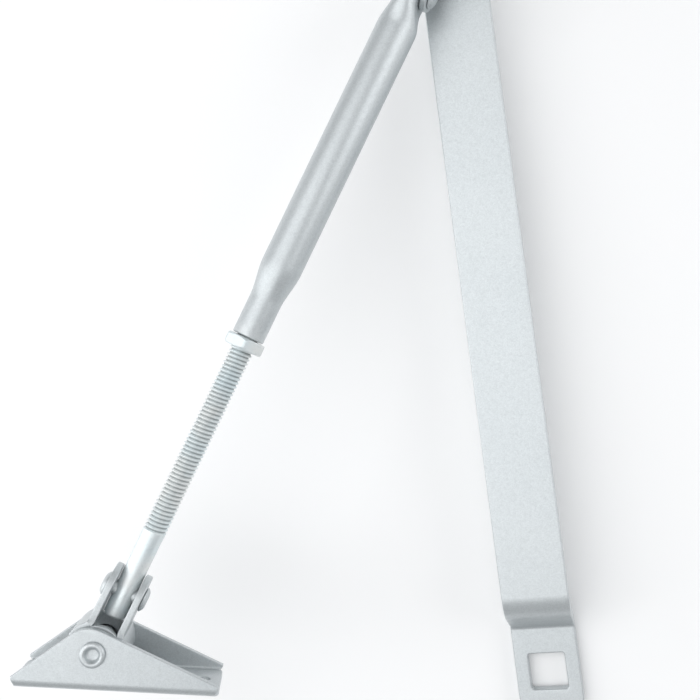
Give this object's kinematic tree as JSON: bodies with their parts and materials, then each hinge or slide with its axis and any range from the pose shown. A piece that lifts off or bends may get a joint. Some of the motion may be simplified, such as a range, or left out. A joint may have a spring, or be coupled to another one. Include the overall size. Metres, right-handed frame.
{
  "type": "door closer arm",
  "caption": "Folding door closer arm: cranked flat main arm with a square hole, riveted elbow, adjustable tube-and-rod forearm and a pressed mounting shoe.",
  "frame": {"origin": "centre of the square pinion hole, on the arm's underside, which seats on the closer's pinion", "axes": "+Z along the pinion axis, away from the closer; +Y along the main arm from the pinion hole to the elbow; +X completes the right-handed frame"},
  "size_m": [0.1786, 0.2828, 0.0844],
  "materials": {
    "silver_paint": "fine metallic silver paint, satin",
    "zinc_plate": "bright zinc plating",
    "bare_steel": "plain turned steel"
  },
  "bodies": {
    "main_arm": {"main_arm": "silver_paint", "elbow_pivot_rivet": "silver_paint", "elbow_lower_washer": "bare_steel", "elbow_upper_washer": "bare_steel", "elbow_bush": "bare_steel"},
    "elbow_link": {"elbow_link": "silver_paint", "elbow_cross_rivet": "silver_paint"},
    "forearm": {"forearm_tube": "silver_paint"},
    "nut": {"jam_nut": "zinc_plate"},
    "rod": {"threaded_rod": "zinc_plate"},
    "shoe_link": {"shoe_link": "silver_paint", "rod_cross_rivet": "silver_paint"},
    "shoe": {"shoe_bracket": "silver_paint", "shoe_bush": "bare_steel", "shoe_pivot_rivet": "silver_paint"}
  },
  "joints": [
    {"name": "elbow_swivel", "type": "hinge", "parent": "main_arm", "child": "elbow_link", "pos_m": [0, 0.258, 0.03235], "axis": [0, 0, -1], "continuous": true},
    {"name": "elbow_tilt", "type": "hinge", "parent": "elbow_link", "child": "forearm", "pos_m": [-0.01229, 0.23833, 0.03235], "axis": [-0.848, 0.5299, 0], "range_deg": [-17.5, 12.5]},
    {"name": "rod_turn", "type": "hinge", "parent": "forearm", "child": "nut", "pos_m": [-0.01229, 0.23833, 0.03235], "axis": [-0.5254, -0.8408, 0.1305], "range_deg": [-15120, 5040]},
    {"name": "rod_advance", "type": "slide", "parent": "nut", "child": "rod", "axis": [-0.5254, -0.8408, 0.1305], "range_m": [-0.05926, 0.01975]},
    {"name": "shoe_tilt", "type": "hinge", "parent": "rod", "child": "shoe_link", "pos_m": [-0.12893, 0.05167, 0.06133], "axis": [-0.7961, 0.5399, 0.2733], "range_deg": [-20, 16]},
    {"name": "shoe_swivel", "type": "hinge", "parent": "shoe_link", "child": "shoe", "pos_m": [-0.1385, 0.03601, 0.06437], "axis": [0.3184, -0.0103, 0.9479], "range_deg": [-86, 44]}
  ],
  "couplings": [
    {"joint": "rod_turn", "follows": "rod_advance", "rad_per_m": 4452.6}
  ]
}
